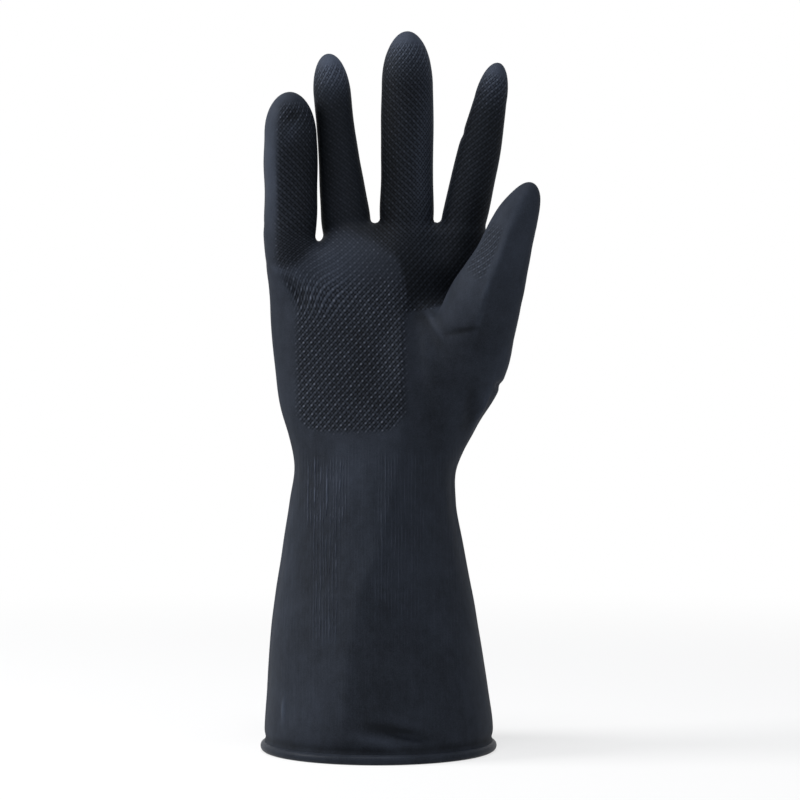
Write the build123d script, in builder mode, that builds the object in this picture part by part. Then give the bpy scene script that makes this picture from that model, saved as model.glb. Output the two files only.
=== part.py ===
from build123d import *
import os
from math import cos, pi, radians, sin, tan

# A right-hand electrical insulating glove that stands on the rolled bead of its cuff, in millimetres.
# The fingers point to +Z, the palm faces -Y and the thumb is on the +X side.
# The origin is the centre of the cuff opening, on the surface that the glove stands on.
# The glove is one dipped skin of even thickness, divided where the rubber bends: at the wrist, at the
# root of each stall and at the joints of the fingers. The pieces meet face to face.

# The skin
wall = 1.5

# The rolled bead
bead_height = 4.6
bead_roll = 2.2
foot_width = 1.8

# The gauntlet, from the round cuff to the oval wrist
cuff_radius = 57.2
flare_height = 16.0
flare_width = 112.0
flare_depth = 111.0
gauntlet_middle_height = 65.0
gauntlet_middle_width = 102.7
gauntlet_middle_depth = 96.0
gauntlet_top_width = 83.2
gauntlet_top_depth = 64.0
gauntlet_middle_lean = 2.2
gauntlet_top_lean = 2.8

# The wrist, which bends both ways about an axis across the hand
wrist_height = 143.5
wrist_width = 81.8
wrist_depth = 61.0
wrist_lean = 1.6
wrist_bend_angle = 50.0
wrist_slack = 3.0

# The hand, whose little-finger edge is nearly straight and whose other edge carries the thumb
heel_rise = 21.0
palm_rise = 45.0
upper_palm_rise = 78.0
hand_height = 263.0
wrist_top_left = 45.6
wrist_top_right = 48.0
wrist_top_depth = 58.0
heel_left = 50.0
heel_right = 54.0
heel_depth = 53.0
palm_left = 53.8
palm_right = 53.0
palm_depth = 47.0
upper_palm_left = 55.6
upper_palm_right = 54.4
upper_palm_depth = 41.0
hand_top_depth = 29.0
hand_left = 56.8
hand_edge = 0.6

# How square the level sections are: 2 is an ellipse, and more is squarer
cuff_squareness = 2.0
wrist_squareness = 2.1
heel_squareness = 2.2
palm_squareness = 2.3
upper_palm_squareness = 2.5
hand_top_squareness = 2.8
section_points = 24

# The finger stalls: their roots lie side by side, with a crotch between each two
root_rise = 4.0
stub_depth = 32.0
stub_narrowing = 4.0
little_ring_crotch = 2.4
ring_middle_crotch = 4.3
middle_index_crotch = 4.9
root_curl_angle = 2.0
middle_curl_angle = 4.0
tip_curl_angle = 4.0

little_radius = 12.8
little_tip_radius = 11.8
little_lean = 0.4
little_forward = 4.5
little_proximal_length = 7.8
little_middle_length = 5.5
little_tip_length = 14.0

ring_radius = 12.8
ring_tip_radius = 9.2
ring_lean = -6.0
ring_forward = -1.5
ring_proximal_length = 17.5
ring_middle_length = 12.0
ring_tip_length = 18.8

middle_radius = 13.1
middle_tip_radius = 12.9
middle_lean = 0.0
middle_forward = 0.0
middle_proximal_length = 20.1
middle_middle_length = 14.0
middle_tip_length = 23.8

index_radius = 10.9
index_tip_radius = 9.3
index_lean = 12.6
index_forward = 0.0
index_proximal_length = 15.5
index_middle_length = 9.5
index_tip_length = 24.5

# The thumb stall, which grows out of the heel of the hand
thumb_heel_out = 26.6
thumb_heel_forward = 5.8
thumb_heel_rise = 13.0
thumb_heel_radius = 20.0
thumb_mount_out = 42.5
thumb_mount_forward = 17.0
thumb_mount_rise = 38.8
thumb_mount_radius = 19.0
thumb_root_out = 54.4
thumb_root_forward = 28.0
thumb_root_rise = 67.2
thumb_radius = 15.0
thumb_tip_radius = 12.5
thumb_lean = 23.0
thumb_tilt = 7.7
thumb_turn = 50.0
thumb_proximal_length = 13.0
thumb_tip_length = 26.0

# How far each stall bends, in degrees, and where its bending axis lies in front of its centre line
finger_root_bend_angle = 60.0
finger_middle_bend_angle = 70.0
tip_bend_share = 2 / 3
finger_back_bend_angle = 20.0
thumb_root_bend_angle = 35.0
thumb_open_bend_angle = 15.0
thumb_tip_bend_angle = 55.0
hinge_share = 0.35
bend_slack = 1.5


def oval(height, left, right, depth, squareness, inset=0.0):
    # A level section whose outline follows |x / a|^n + |y / b|^n = 1, with n the squareness.
    half_width = (left + right) / 2 - inset
    half_depth = depth / 2 - inset
    middle = (right - left) / 2
    points = []
    for step in range(section_points):
        angle = 2 * pi * step / section_points
        across = abs(cos(angle)) ** (2 / squareness)
        along = abs(sin(angle)) ** (2 / squareness)
        sign_x = 1 if cos(angle) > 0 else -1
        sign_y = 1 if sin(angle) > 0 else -1
        points.append((middle + half_width * across * sign_x, half_depth * along * sign_y))
    with BuildSketch(Plane.XY.offset(height)) as section:
        with BuildLine():
            Spline(*points, periodic=True)
        make_face()
    return section.sketch


def disc(plane, radius):
    # A round section square to the plane's own direction.
    with BuildSketch(plane) as section:
        Circle(radius)
    return section.sketch


def curled(plane, angle):
    # The same plane turned forward, to the palm side, about its own x direction.
    turn = radians(angle)
    ahead = plane.z_dir * cos(turn) - plane.y_dir * sin(turn)
    return Plane(plane.origin, x_dir=plane.x_dir, z_dir=ahead)


def bend_length(radius, bend, back_bend, curl):
    # A ring that bends about an axis at p from the palm side keeps its ends apart if it is longer
    # than 2 * p * tan(half the angle), and the same holds for the back of the stall.
    front = 2 * radius * (1 - hinge_share) * tan(radians(bend + curl) / 2)
    back = 2 * radius * (1 + hinge_share) * tan(radians(back_bend) / 2)
    return max(front, back) + bend_slack


class Stall:
    # The planes, radii and bending axes along one finger or thumb stall, from its root to its tip.
    # The stall is a chain: a bending ring, then a stiffer length, and so on to the domed tip. Each
    # bend is its angle forward, its angle back and its curl at rest.
    def __init__(self, name, root, radius, tip_radius, bends, lengths):
        self.name = name
        self.root = root
        self.radius = radius
        self.tip_length = lengths[-1]
        self.spans = []
        self.hinges = []
        rings = [bend_length(radius, *bend) for bend in bends]
        full = sum(rings) + sum(lengths[:-1])
        taper = (tip_radius - radius) / full
        joints = ("root", "middle", "tip") if len(bends) == 3 else ("root", "tip")
        plane = root
        for joint, bend, ring_length, length in zip(joints, bends, rings, lengths):
            centre = plane.offset(ring_length / 2)
            after = curled(centre, bend[2]).offset(ring_length / 2)
            end_radius = radius + taper * ring_length
            self.spans.append((f"{joint}_bend", plane, radius, after, end_radius))
            axis_depth = hinge_share * (radius + end_radius) / 2
            self.hinges.append((centre.origin - centre.y_dir * axis_depth, centre.x_dir))
            plane = after
            radius = end_radius
            if joint != "tip":
                onward = plane.offset(length)
                end_radius = radius + taper * length
                stretch = "proximal" if joint == "root" else "middle"
                self.spans.append((stretch, plane, radius, onward, end_radius))
                plane = onward
                radius = end_radius
        self.tip_plane = plane
        self.end_radius = radius


def finger(name, x, forward, lean, radius, tip_radius, lengths):
    # A finger stall that leans sideways and bends at its root and at its two joints.
    turn = radians(lean)
    root = Plane(
        (x, -forward, hand_height + root_rise),
        x_dir=(cos(turn), 0, -sin(turn)),
        z_dir=(sin(turn), 0, cos(turn)),
    )
    bends = (
        (finger_root_bend_angle, finger_back_bend_angle, root_curl_angle),
        (finger_middle_bend_angle, 0.0, middle_curl_angle),
        (finger_middle_bend_angle * tip_bend_share, 0.0, tip_curl_angle),
    )
    return Stall(name, root, radius, tip_radius, bends, lengths)


# The stalls side by side
little_x = little_radius - hand_left
ring_x = little_x + little_radius + little_ring_crotch + ring_radius
middle_x = ring_x + ring_radius + ring_middle_crotch + middle_radius
index_x = middle_x + middle_radius + middle_index_crotch + index_radius
hand_right = index_x + index_radius + hand_edge

little = finger(
    "little", little_x, little_forward, little_lean, little_radius, little_tip_radius,
    (little_proximal_length, little_middle_length, little_tip_length),
)
ring = finger(
    "ring", ring_x, ring_forward, ring_lean, ring_radius, ring_tip_radius,
    (ring_proximal_length, ring_middle_length, ring_tip_length),
)
middle = finger(
    "middle", middle_x, middle_forward, middle_lean, middle_radius, middle_tip_radius,
    (middle_proximal_length, middle_middle_length, middle_tip_length),
)
index = finger(
    "index", index_x, index_forward, index_lean, index_radius, index_tip_radius,
    (index_proximal_length, index_middle_length, index_tip_length),
)

# The wrist's length lets it bend without its ends meeting
wrist_length = 2 * (wrist_depth / 2) * tan(radians(wrist_bend_angle) / 2) + wrist_slack
wrist_foot = wrist_height - wrist_length / 2
wrist_top = wrist_height + wrist_length / 2

# The thumb leans out and forward, and its own palm side is turned towards the fingers
thumb_heel = Vector(thumb_heel_out, -thumb_heel_forward, wrist_top + thumb_heel_rise)
thumb_mount = Vector(thumb_mount_out, -thumb_mount_forward, wrist_top + thumb_mount_rise)
thumb_root = Vector(thumb_root_out, -thumb_root_forward, wrist_top + thumb_root_rise)
thumb_ahead = Vector(
    sin(radians(thumb_lean)), -sin(radians(thumb_tilt)), cos(radians(thumb_lean))
).normalized()
thumb_palm_side = Vector(-sin(radians(thumb_turn)), -cos(radians(thumb_turn)), 0)
thumb_across = thumb_ahead.cross(thumb_palm_side).normalized()
thumb = Stall(
    "thumb",
    Plane(thumb_root, x_dir=thumb_across, z_dir=thumb_ahead),
    thumb_radius,
    thumb_tip_radius,
    ((thumb_root_bend_angle, thumb_open_bend_angle, root_curl_angle), (thumb_tip_bend_angle, 0.0, tip_curl_angle)),
    (thumb_proximal_length, thumb_tip_length),
)
stalls = (little, ring, middle, index, thumb)

# Level sections of the gauntlet, the wrist and the hand: height, left, right, depth, squareness
cuff_section = (bead_height, cuff_radius, cuff_radius, 2 * cuff_radius, cuff_squareness)
flare_section = (flare_height, flare_width / 2, flare_width / 2, flare_depth, cuff_squareness)
gauntlet_middle_section = (
    gauntlet_middle_height,
    gauntlet_middle_width / 2 + gauntlet_middle_lean,
    gauntlet_middle_width / 2 - gauntlet_middle_lean,
    gauntlet_middle_depth,
    cuff_squareness,
)
gauntlet_top_section = (
    wrist_foot,
    gauntlet_top_width / 2 + gauntlet_top_lean,
    gauntlet_top_width / 2 - gauntlet_top_lean,
    gauntlet_top_depth,
    wrist_squareness,
)
wrist_section = (
    wrist_height,
    wrist_width / 2 + wrist_lean,
    wrist_width / 2 - wrist_lean,
    wrist_depth,
    wrist_squareness,
)
heel_height = wrist_top + heel_rise
palm_height = wrist_top + palm_rise
upper_palm_height = wrist_top + upper_palm_rise
hand_sections = (
    (wrist_top, wrist_top_left, wrist_top_right, wrist_top_depth, wrist_squareness),
    (heel_height, heel_left, heel_right, heel_depth, heel_squareness),
    (palm_height, palm_left, palm_right, palm_depth, palm_squareness),
    (upper_palm_height, upper_palm_left, upper_palm_right, upper_palm_depth, upper_palm_squareness),
    (hand_height, hand_left, hand_right, hand_top_depth, hand_top_squareness),
)
hand_top_inside = (
    hand_height - wall, hand_left, hand_right, hand_top_depth, hand_top_squareness
)

# The reach of a curve's handles that makes it a quarter of an ellipse
quarter = 0.5523

os.makedirs("parts", exist_ok=True)


def save(piece, name):
    # Each piece carries its own name.
    piece.label = name
    export_step(piece, f"parts/{name}.step")


def skin(sections):
    # A loft of level sections, with the same loft one wall further in taken away.
    outer = [oval(*section) for section in sections]
    inner = [oval(*section, inset=wall) for section in sections]
    with BuildPart() as shell:
        loft(sections=outer)
        loft(sections=inner, mode=Mode.SUBTRACT)
    return shell


# The rolled bead: round outside, with a true cylinder inside and a flat foot under it
bead_inner_radius = cuff_radius - wall
bead_outer_radius = cuff_radius + bead_roll
foot_outer_radius = bead_inner_radius + foot_width
with BuildPart() as cuff_bead:
    with BuildSketch(Plane.XZ):
        with BuildLine():
            Polyline(
                (foot_outer_radius, 0),
                (bead_inner_radius, 0),
                (bead_inner_radius, bead_height),
                (cuff_radius, bead_height),
            )
            ThreePointArc(
                (cuff_radius, bead_height),
                (bead_outer_radius, bead_height / 2),
                (foot_outer_radius, 0),
            )
        make_face()
    revolve(axis=Axis.Z)
save(cuff_bead.part, "cuff_bead")

gauntlet = skin((cuff_section, flare_section, gauntlet_middle_section, gauntlet_top_section))
save(gauntlet.part, "gauntlet")

wrist_ring = skin((gauntlet_top_section, wrist_section, hand_sections[0]))
save(wrist_ring.part, "wrist_bend")

# The hand shell: the palm, a stub under each finger stall and the mount of the thumb
thumb_heel_plane = Plane(thumb_heel, z_dir=thumb_mount - thumb_heel)
thumb_mount_plane = Plane(thumb_mount, z_dir=thumb_root - thumb_heel)
thumb_root_plane = Plane(thumb_root, z_dir=thumb_ahead)


def thumb_base(inset):
    # The sections of the thumb's mount, from inside the heel of the hand to the root of the stall.
    return [
        disc(thumb_heel_plane, thumb_heel_radius - inset),
        disc(thumb_mount_plane, thumb_mount_radius - inset),
        disc(thumb_root_plane, thumb_radius - inset),
    ]


def stub(stall, inset):
    # The root of a finger stall inside the hand, where it narrows.
    low = disc(stall.root.offset(-stub_depth), stall.radius - stub_narrowing - inset)
    return [low, disc(stall.root, stall.radius - inset)]


hand_outer = [oval(*section) for section in hand_sections]
hand_inner = [oval(*section, inset=wall) for section in hand_sections[:-1]]
hand_inner.append(oval(*hand_top_inside, inset=wall))
thumb_outer = thumb_base(0.0)
thumb_inner = thumb_base(wall)
stubs_outer = [stub(stall, 0.0) for stall in stalls[:4]]
stubs_inner = [stub(stall, wall) for stall in stalls[:4]]
with BuildPart() as hand_shell:
    loft(sections=hand_outer)
    loft(sections=thumb_outer)
    for sections in stubs_outer:
        loft(sections=sections)
    loft(sections=hand_inner, mode=Mode.SUBTRACT)
    loft(sections=thumb_inner, mode=Mode.SUBTRACT)
    for sections in stubs_inner:
        loft(sections=sections, mode=Mode.SUBTRACT)
save(hand_shell.part, "hand_shell")


def tube(near, near_radius, far, far_radius):
    # A length of stall between two planes, open at both ends.
    outer = [disc(near, near_radius), disc(far, far_radius)]
    inner = [disc(near, near_radius - wall), disc(far, far_radius - wall)]
    with BuildPart() as piece:
        loft(sections=outer, ruled=True)
        loft(sections=inner, ruled=True, mode=Mode.SUBTRACT)
    return piece


def dome(plane, radius, length):
    # The closed end of a stall: very nearly half an ellipse, turned about Z, with a hollow one wall
    # smaller inside, then set on its plane.
    with BuildPart() as piece:
        for inset, mode in ((0.0, Mode.ADD), (wall, Mode.SUBTRACT)):
            wide = radius - inset
            high = length - inset
            with BuildSketch(Plane.XZ):
                with BuildLine():
                    Bezier((wide, 0), (wide, high * quarter), (wide * quarter, high), (0, high))
                    Polyline((0, high), (0, 0), (wide, 0))
                make_face()
            revolve(axis=Axis.Z, mode=mode)
    return plane.location * piece.part


for stall in stalls:
    for part_name, near, near_radius, far, far_radius in stall.spans:
        save(tube(near, near_radius, far, far_radius).part, f"{stall.name}_{part_name}")
    save(dome(stall.tip_plane, stall.end_radius, stall.tip_length), f"{stall.name}_tip")
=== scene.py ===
import functools
import math

import bpy
import numpy as np
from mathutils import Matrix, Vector


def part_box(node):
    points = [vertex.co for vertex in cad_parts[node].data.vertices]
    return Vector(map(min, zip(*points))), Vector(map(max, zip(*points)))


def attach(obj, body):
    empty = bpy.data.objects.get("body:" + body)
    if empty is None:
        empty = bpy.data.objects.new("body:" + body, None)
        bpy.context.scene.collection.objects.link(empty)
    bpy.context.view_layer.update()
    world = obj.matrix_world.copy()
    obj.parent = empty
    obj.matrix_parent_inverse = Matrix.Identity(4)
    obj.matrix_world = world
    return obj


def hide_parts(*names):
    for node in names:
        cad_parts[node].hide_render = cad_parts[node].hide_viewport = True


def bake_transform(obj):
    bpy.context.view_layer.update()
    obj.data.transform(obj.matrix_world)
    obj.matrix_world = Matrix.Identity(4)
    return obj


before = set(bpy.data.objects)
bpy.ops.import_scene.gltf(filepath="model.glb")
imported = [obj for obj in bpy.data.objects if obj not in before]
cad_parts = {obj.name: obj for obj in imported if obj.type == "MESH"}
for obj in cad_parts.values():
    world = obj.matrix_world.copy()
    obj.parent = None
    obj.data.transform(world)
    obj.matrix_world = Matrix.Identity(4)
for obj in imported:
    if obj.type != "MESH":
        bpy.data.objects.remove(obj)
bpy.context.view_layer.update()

# A right-hand insulating glove of dipped black rubber, standing on the rolled bead of its cuff. Shapes
# are in millimetres, meshes in metres. +Z runs up to the fingertips, the palm faces -Y, the thumb +X.
mm = 0.001


# The gauntlet, wrist and hand: how far the skin stands from the middle line at each height
bodyShape = {
    "left": [(0, 57.5), (14, 57.1), (30, 56), (65, 53.8), (100, 48.4), (125, 44.7), (143, 42.5),
             (158, 45.3), (172, 49.5), (190, 52.1), (210, 54.3), (228, 54.8), (245, 54.7), (264, 55.2)],
    "right": [(0, 57.6), (14, 57.2), (30, 55.2), (65, 49.7), (100, 43.4), (125, 39), (141, 39.2),
              (150, 42.7), (160, 48.3), (172, 53.2), (184, 55), (205, 52.5), (240, 53), (264, 54)],
    "front": [(0, 57), (14, 56.6), (40, 53), (70, 46), (105, 36.5), (130, 31.5), (150, 28.5),
              (175, 25.6), (205, 22.6), (232, 20.2), (247, 18.6), (256, 14.6), (264, 11)],
    "back": [(0, 57), (14, 56.6), (40, 53.5), (70, 47.5), (105, 37.5), (130, 32), (150, 29.5),
             (175, 28), (205, 25), (235, 19.5), (250, 15.4), (264, 11)],
    "square": [(0, 2), (120, 2), (160, 2.05), (200, 2.15), (235, 2.35), (264, 2.6)],
    "topStart": 250,
    "topHeight": 13.5,
    "crotchDip": (-30.4, 7, 8.5),
    # how far the palm falls back beside the thumb's web and under the little finger's root
    "webFall": 8,
    "littleFall": 4.5,
}

# The finger stalls: root on the knuckle line, lean to the side in degrees, how far the tip curls forward,
# where the domed end starts and how long it is, the soft ridge (degrees from the front, share of the
# radius, share pressed in beside it), middle and half width of the grip in degrees, and skin radius
stallShape = {
    "little": {"root": (-44.2, -5.4, 267), "lean": 0, "curl": 5.8, "domeStart": 40, "domeLength": 22.6,
               "ridge": (-34, 0.045, 0.05), "grip": (27, 53),
               "radius": [(-34, 8), (-16, 11.6), (0, 13.4), (14, 13.4), (28, 13.65), (40, 13.2)]},
    "ring": {"root": (-16.4, 2.8, 267), "lean": -6.1, "curl": 7.8, "domeStart": 62.5, "domeLength": 20.4,
             "ridge": (-55, 0.02, 0.02), "grip": (4, 72),
             "radius": [(-34, 8), (-16, 11), (0, 12.4), (12, 11.75), (30, 10.35), (50, 9.7), (62, 9.6)]},
    "middle": {"root": (14.2, 0, 267), "lean": 0.3, "curl": 8.8, "domeStart": 64.5, "domeLength": 28.4,
               "ridge": (-62, 0.03, 0.02), "grip": (2, 74),
               "radius": [(-34, 8.5), (-16, 11.6), (0, 13.6), (20, 13.2), (50, 13.4), (65, 13)]},
    "index": {"root": (43.1, 0, 267), "lean": 12.6, "curl": 8, "domeStart": 58, "domeLength": 21.3,
              "ridge": (-60, 0.02, 0.02), "grip": (6, 68),
              "radius": [(-34, 7.5), (-16, 10), (0, 11.2), (20, 11.1), (36, 10.7), (50, 9.3), (60, 8.2)]},
}
stallDepth = 0.96

# The thumb's middle line by height, its radius along that line, and its ridged section
thumbShape = {
    "across": [(150, 17), (168, 30), (184, 41), (197, 45), (211, 48), (226.4, 53.2), (234.5, 56.8),
               (246, 61.3), (254, 63.8), (265, 68), (277, 73.4), (290, 78.4)],
    "ahead": [(150, 3), (168, -2), (184, -9), (197, -15.5), (211, -22), (226.4, -29), (242, -33.5),
              (258, -36), (270, -37.5), (290, -39.5)],
    "radius": [(150, 12), (168, 16), (184, 19), (197, 20.2), (211, 19.8), (226.4, 18), (234.5, 16.3),
               (246, 13.6), (254, 12.5), (262, 12)],
    "flatness": [(150, 0.9), (184, 0.85), (211, 0.78), (234, 0.82), (254, 0.95)],
    "reach": (152, 290),
    "foot": 160,
    "domeStart": 251.5,
    "domeLength": 32.5,
    "ridgeAngle": -4,
    "ridge": 0.1,
    "flats": 0.09,
}
moundShape = {"centre": (31, -14, 192.5), "size": (22.5, 14, 29.5), "lean": 10}
mergeWidth = {"crotchLow": 9, "crotchHigh": 0.5, "crotchFrom": 258, "crotchTo": 272, "thumb": 4, "mound": 10}
# The hollow between the thumb's web and the index finger: where the palm falls away, and how deep
webHollow = {"centre": (37, -13, 230), "reach": (12, 12, 11), "depth": 4.5}


def smoothCurve(at, stops):
    # A Hermite curve through (place, value) stops: cubic pieces that share their slopes.
    place, value = np.array(stops, float).T
    slope = np.gradient(value, place)
    i = np.clip(np.searchsorted(place, at) - 1, 0, len(place) - 2)
    width = place[i + 1] - place[i]
    t = np.clip((at - place[i]) / width, 0, 1)
    low = (2 * t**3 - 3 * t**2 + 1) * value[i] + (t**3 - 2 * t**2 + t) * width * slope[i]
    return low + (3 * t**2 - 2 * t**3) * value[i + 1] + (t**3 - t**2) * width * slope[i + 1]


def ease(low, high, at):
    # 0 below low, 1 above high and 3t^2 - 2t^3 between.
    t = np.clip((at - low) / (high - low), 0, 1)
    return t * t * (3 - 2 * t)


def hump(at, centre, reach):
    # exp(-((at - centre) / reach)^2): a smooth swelling one unit high.
    return np.exp(-(((at - centre) / reach) ** 2))


def merge(a, b, width):
    # The smaller of two fields, rounded over the given width: min(a, b) - h^2 width / 4.
    h = np.maximum(width - np.abs(a - b), 0) / width
    return np.minimum(a, b) - h * h * width / 4


def crotchDip(x):
    # How much lower the web between the little and the ring finger lies than the other webs.
    centre, reach, depth = bodyShape["crotchDip"]
    return depth * hump(x, centre, reach)


def bodyField(p):
    # |x / a|^n + |y / b|^n + (rise / top)^3 - 1, divided by its own slope to give a distance.
    x, y, z = p.T
    left = smoothCurve(z, bodyShape["left"])
    right = smoothCurve(z, bodyShape["right"])
    n = smoothCurve(z, bodyShape["square"])
    a = (left + right) / 2
    u = np.abs(x - (right - left) / 2) / a + 1e-6
    web = bodyShape["webFall"] * ease(7, 33, x) * ease(208, 226, z) * ease(272, 250, z)
    little = bodyShape["littleFall"] * ease(-31, -46, x) * ease(232, 247, z - 0.5 * (x + 44))
    little *= ease(275, 262, z)
    b = np.where(y < 0, smoothCurve(z, bodyShape["front"]) - web - little, smoothCurve(z, bodyShape["back"]))
    v = np.abs(y) / b + 1e-6
    w = np.maximum(z + crotchDip(x) - bodyShape["topStart"], 0) / bodyShape["topHeight"]
    level = u**n + v**n + w**3 - 1
    slope = np.sqrt((n * u ** (n - 1) / a) ** 2 + (n * v ** (n - 1) / b) ** 2
                    + (3 * w**2 / bodyShape["topHeight"]) ** 2)
    return level / np.maximum(slope, 0.004)


def stallAxes(stall):
    # The stall's own directions: along it, across it and out of the palm side.
    turn = math.radians(stall["lean"])
    along = np.array([math.sin(turn), 0, math.cos(turn)])
    across = np.array([math.cos(turn), 0, -math.sin(turn)])
    return along, across, np.array([0, -1, 0])


def stallPlace(stall, p):
    # Distance along the stall, then across and forward from its curled middle line.
    along, across, forward = stallAxes(stall)
    q = p - np.array(stall["root"])
    s = q @ along
    full = stall["domeStart"] + stall["domeLength"]
    curl = stall["curl"] * np.clip(s / full, 0, 1.2) ** 1.25
    return s, q @ across, q @ forward - curl


def stallField(stall, p):
    # (distance from the middle line / radius)^2 + (rise into the dome / dome)^2 - 1, over its slope.
    s, u, v = stallPlace(stall, p)
    ridgeTurn, ridge, pressed = stall["ridge"]
    turn = np.abs(np.arctan2(u, v) - math.radians(ridgeTurn))
    turn = np.minimum(turn, 2 * math.pi - turn)
    form = ridge * hump(turn, 0, 0.3) - pressed * hump(turn, 0.75, 0.35)
    form *= ease(-4, 8, s) * ease(stall["domeStart"] + 12, stall["domeStart"] - 4, s)
    r = smoothCurve(s, stall["radius"]) * (1 + form)
    q = np.sqrt(u**2 + (v / stallDepth) ** 2) + 1e-6
    rise = np.maximum(s - stall["domeStart"], 0) / stall["domeLength"]
    fall = np.maximum(-s - 26, 0) / 10
    level = (q / r) ** 2 + rise**2 + fall**2 - 1
    slope = 2 * np.sqrt((q / r**2) ** 2 + (rise / stall["domeLength"]) ** 2 + (fall / 10) ** 2)
    return level / np.maximum(slope, 0.02)


def thumbPlace(p):
    # The height on the thumb's middle line nearest to each point, and the offset from that line.
    low, high = thumbShape["reach"]
    z = np.clip(p[:, 2], low, high)
    for _ in range(4):
        centre, above = (np.stack([smoothCurve(h, thumbShape[way]) for way in ("across", "ahead")] + [h], 1)
                         for h in (z, z + 1))
        along = (above - centre) / np.linalg.norm(above - centre, axis=1)[:, None]
        z = np.clip(z + ((p - centre) * along).sum(1) * along[:, 2], low, high)
    return z, p - centre, along


def thumbSides(q, along):
    # Distances beyond, beside and in front of the nearest point of the middle line, and the angle
    # round it from the front.
    side = np.cross(along, np.array([0, 1, 0]))
    side /= np.linalg.norm(side, axis=1)[:, None]
    front = np.cross(along, side)
    sideways, ahead = -(q * side).sum(1), (q * front).sum(1)
    return (q * along).sum(1), sideways, ahead, np.arctan2(sideways, ahead)


def thumbField(p):
    # As a stall, with a ridge up its front and a flatter face on each side of that ridge.
    z, q, along = thumbPlace(p)
    beyond, sideways, ahead, angle = thumbSides(q, along)
    flat = np.sqrt(sideways**2 + (ahead / smoothCurve(z, thumbShape["flatness"])) ** 2) + 1e-6
    angle = angle - math.radians(thumbShape["ridgeAngle"])
    r = smoothCurve(z, thumbShape["radius"])
    form = thumbShape["ridge"] * hump(angle, 0, 0.24) - thumbShape["flats"] * hump(np.abs(angle), 0.85, 0.45)
    r = r * (1 + ease(205, 228, z) * ease(272, 255, z) * form)
    rise = np.maximum((z - thumbShape["domeStart"]) / along[:, 2] + beyond, 0) / thumbShape["domeLength"]
    fall = np.maximum(thumbShape["foot"] - z - np.minimum(beyond, 0), 0) / 14
    level = (flat / r) ** 2 + rise**2 + fall**2 - 1
    slope = 2 * np.sqrt((flat / r**2) ** 2 + (rise / thumbShape["domeLength"]) ** 2 + (fall / 14) ** 2)
    return level / np.maximum(slope, 0.02)


def moundField(p):
    # The fleshy mound under the thumb: an ellipsoid that leans with the thumb.
    turn = math.radians(moundShape["lean"])
    u, v, w = (p - np.array(moundShape["centre"])).T
    size = np.array(moundShape["size"])
    cos, sin = math.cos(turn), math.sin(turn)
    turned = np.stack([u * cos - w * sin, v, u * sin + w * cos], 1) / size
    level = (turned**2).sum(1) - 1
    slope = 2 * np.linalg.norm(turned / size, axis=1)
    return level / np.maximum(slope, 0.02)


def hollowDepth(p):
    # depth * exp(-(distance / reach)^2) along each axis: how far the palm is pressed in.
    q = (p - np.array(webHollow["centre"])) / np.array(webHollow["reach"])
    return webHollow["depth"] * np.exp(-(q**2).sum(1))


def gloveField(p):
    # The body merged with its mound, its thumb and its four stalls.
    field = bodyField(p) + hollowDepth(p)
    near = np.all((p > (-25, -85, 115)) & (p < (115, 60, 320)), axis=1)
    if near.any():
        part = merge(field[near], moundField(p[near]), mergeWidth["mound"])
        field[near] = merge(part, thumbField(p[near]), mergeWidth["thumb"])
    high = p[:, 2] > 215
    if high.any():
        q = p[high]
        part = field[high]
        fade = ease(mergeWidth["crotchFrom"], mergeWidth["crotchTo"], q[:, 2] + crotchDip(q[:, 0]))
        width = mergeWidth["crotchLow"] + (mergeWidth["crotchHigh"] - mergeWidth["crotchLow"]) * fade
        for stall in stallShape.values():
            part = merge(part, stallField(stall, q), width)
        field[high] = part
    return field


def surfaceNet(field, axes):
    # One point in each cell that the surface crosses, at the mean of the crossings on its edges, and
    # one face for each crossed edge, joining the four cells around it.
    shape = tuple(len(a) for a in axes)
    grid = np.empty(shape, np.float32)
    flat = np.stack(np.meshgrid(axes[0], axes[1], indexing="ij"), -1).reshape(-1, 2)
    for first in range(0, shape[2], 16):
        heights = axes[2][first:first + 16]
        block = np.concatenate([np.repeat(flat, len(heights), 0), np.tile(heights, len(flat))[:, None]], 1)
        grid[:, :, first:first + 16] = field(block).reshape(shape[0], shape[1], len(heights))
    cells = tuple(n - 1 for n in shape)
    total = np.zeros(cells + (3,), np.float32)
    count = np.zeros(cells, np.int8)
    found = []
    for axis, around in ((0, (1, 2)), (1, (2, 0)), (2, (0, 1))):
        lower = np.take(grid, range(shape[axis] - 1), axis)
        upper = np.take(grid, range(1, shape[axis]), axis)
        at = np.argwhere((lower < 0) != (upper < 0))
        start = lower[tuple(at.T)]
        place = at.astype(np.float32)
        place[:, axis] += start / (start - upper[tuple(at.T)])
        corner = np.repeat(at[:, None], 4, 1)
        for k, (back, side) in enumerate(((1, 1), (0, 1), (0, 0), (1, 0))):
            corner[:, k, around[0]] -= back
            corner[:, k, around[1]] -= side
        good = np.all((corner >= 0) & (corner < np.array(cells)), axis=(1, 2))
        corner, place, start = corner[good], place[good], start[good]
        for k in range(4):
            np.add.at(total, tuple(corner[:, k].T), place)
            np.add.at(count, tuple(corner[:, k].T), 1)
        corner[start >= 0] = corner[start >= 0][:, ::-1]
        found.append(corner)
    corner = np.concatenate(found)
    used = np.argwhere(count > 0)
    number = np.full(cells, -1, np.int64)
    number[tuple(used.T)] = np.arange(len(used))
    mean = total[tuple(used.T)] / count[tuple(used.T)][:, None]
    points = np.stack([np.interp(mean[:, k], np.arange(shape[k]), axes[k]) for k in range(3)], 1)
    return points, number[corner[..., 0], corner[..., 1], corner[..., 2]]


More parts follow.
